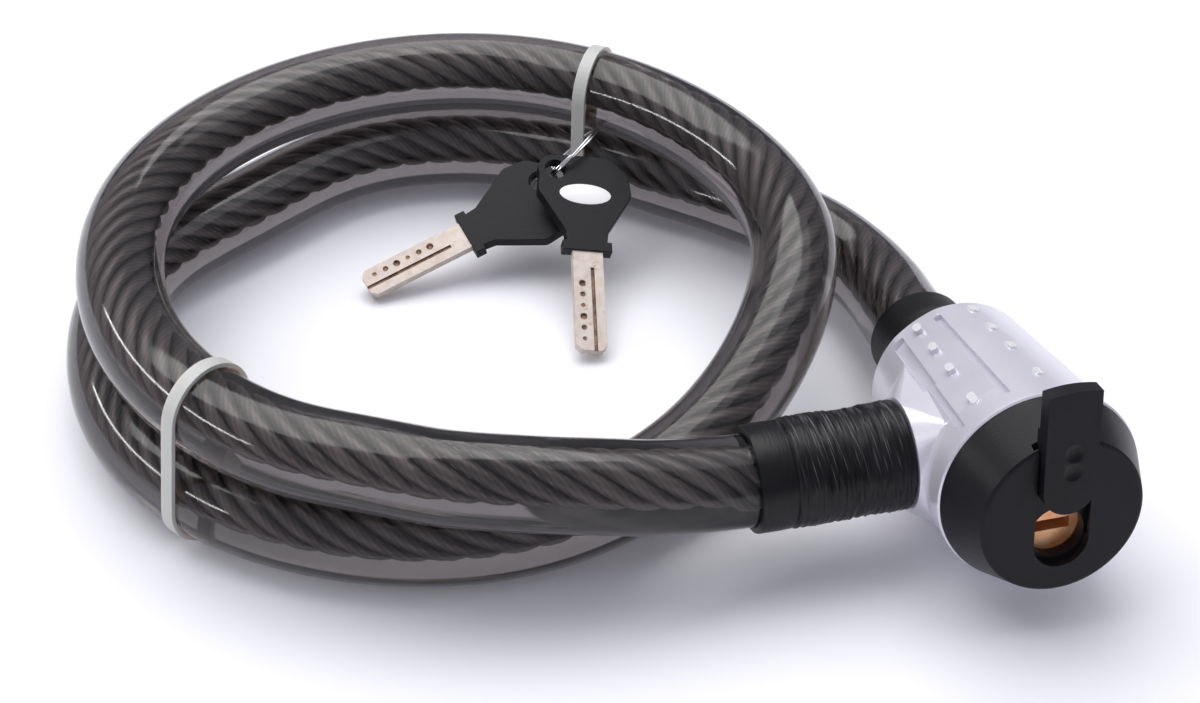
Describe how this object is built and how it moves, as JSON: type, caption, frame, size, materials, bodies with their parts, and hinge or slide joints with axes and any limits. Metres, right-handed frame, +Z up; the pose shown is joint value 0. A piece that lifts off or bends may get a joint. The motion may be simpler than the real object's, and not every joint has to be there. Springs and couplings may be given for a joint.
{
  "type": "coiled cable lock",
  "caption": "Thick steel rope in a clear smoky sheath, coiled and tied, with a tapered silver lock barrel, black cap, sliding keyhole shutter, ribbed plug and flat keys on a ring",
  "frame": {"origin": "centre of the coil on the surface that the lock lies on", "axes": "X runs along the plug towards the barrel, Y goes back across the coil away from the keyhole, Z is up"},
  "size_m": [0.2355, 0.2304, 0.0646],
  "materials": {
    "silver": "satin silver paint over the casting",
    "black": "fine-grained black plastic",
    "rubber": "soft matt black",
    "brass": "turned, slightly dull",
    "steel": "plain machined",
    "rope": "laid steel wires, oiled",
    "sheath": "clear smoky, glossy and flexible",
    "nylon": "natural translucent",
    "wire": "bright plated spring wire",
    "nickel": "plated, warm and slightly worn"
  },
  "bodies": {
    "lock": {"housing": "silver", "end_cap": "black", "shutter_spring": "steel", "cylinder_body": "brass", "driver_pins": "steel", "cylinder_pin": "steel", "socket_bush": "steel", "rear_ferrule": "steel", "anchor_pin": "steel", "rear_boot": "rubber", "rope_rear": "rope", "rope_coil": "rope", "rope_front": "rope", "sheath_rear": "sheath", "sheath_coil": "sheath", "sheath_front": "sheath", "tie_left": "nylon", "tie_back": "nylon"},
    "plug": {"plug_pin": "steel", "plug_ferrule": "steel", "plug_sleeve": "rubber"},
    "key_core": {"key_core": "brass", "core_clip": "steel"},
    "bolt": {"lock_bolt": "steel"},
    "shutter": {"shutter": "black"},
    "key_ring": {"key_ring": "wire"},
    "key_a": {"key_a_bow": "black", "key_a_blade": "nickel"},
    "key_b": {"key_b_bow": "black", "key_b_blade": "nickel"}
  },
  "joints": [
    {"name": "plug_slide", "type": "slide", "parent": "lock", "child": "plug", "axis": [-1, 0, 0], "range_m": [0, 0.011], "deforming": ["sheath_front", "rope_front"]},
    {"name": "core_turn", "type": "hinge", "parent": "lock", "child": "key_core", "pos_m": [0.1116, -0.1269, 0.02494], "axis": [0, 0.9866, -0.1633], "range_deg": [0, 90]},
    {"name": "bolt_slide", "type": "slide", "parent": "lock", "child": "bolt", "axis": [0, -0.1633, -0.9866], "range_m": [0, 0.00566]},
    {"name": "shutter_slide", "type": "slide", "parent": "lock", "child": "shutter", "axis": [0, -0.1633, -0.9866], "range_m": [0, 0.0145]},
    {"name": "key_ring_swing", "type": "hinge", "parent": "lock", "child": "key_ring", "pos_m": [0.04823, 0.0561, 0.0232], "axis": [-0.8192, 0.5736, 0], "range_deg": [0, 10]},
    {"name": "key_a_lift", "type": "hinge", "parent": "key_ring", "child": "key_a", "pos_m": [0.04202, 0.04723, 0.02442], "axis": [-0.5769, 0.4937, 0.6507], "range_deg": [0, 40]},
    {"name": "key_b_sweep", "type": "hinge", "parent": "key_ring", "child": "key_b", "pos_m": [0.03313, 0.04312, 0.01965], "axis": [0.1743, 0.4128, -0.894], "range_deg": [0, 25]}
  ],
  "couplings": [
    {"joint": "bolt_slide", "follows": "core_turn", "m_per_rad": 0.003601}
  ]
}
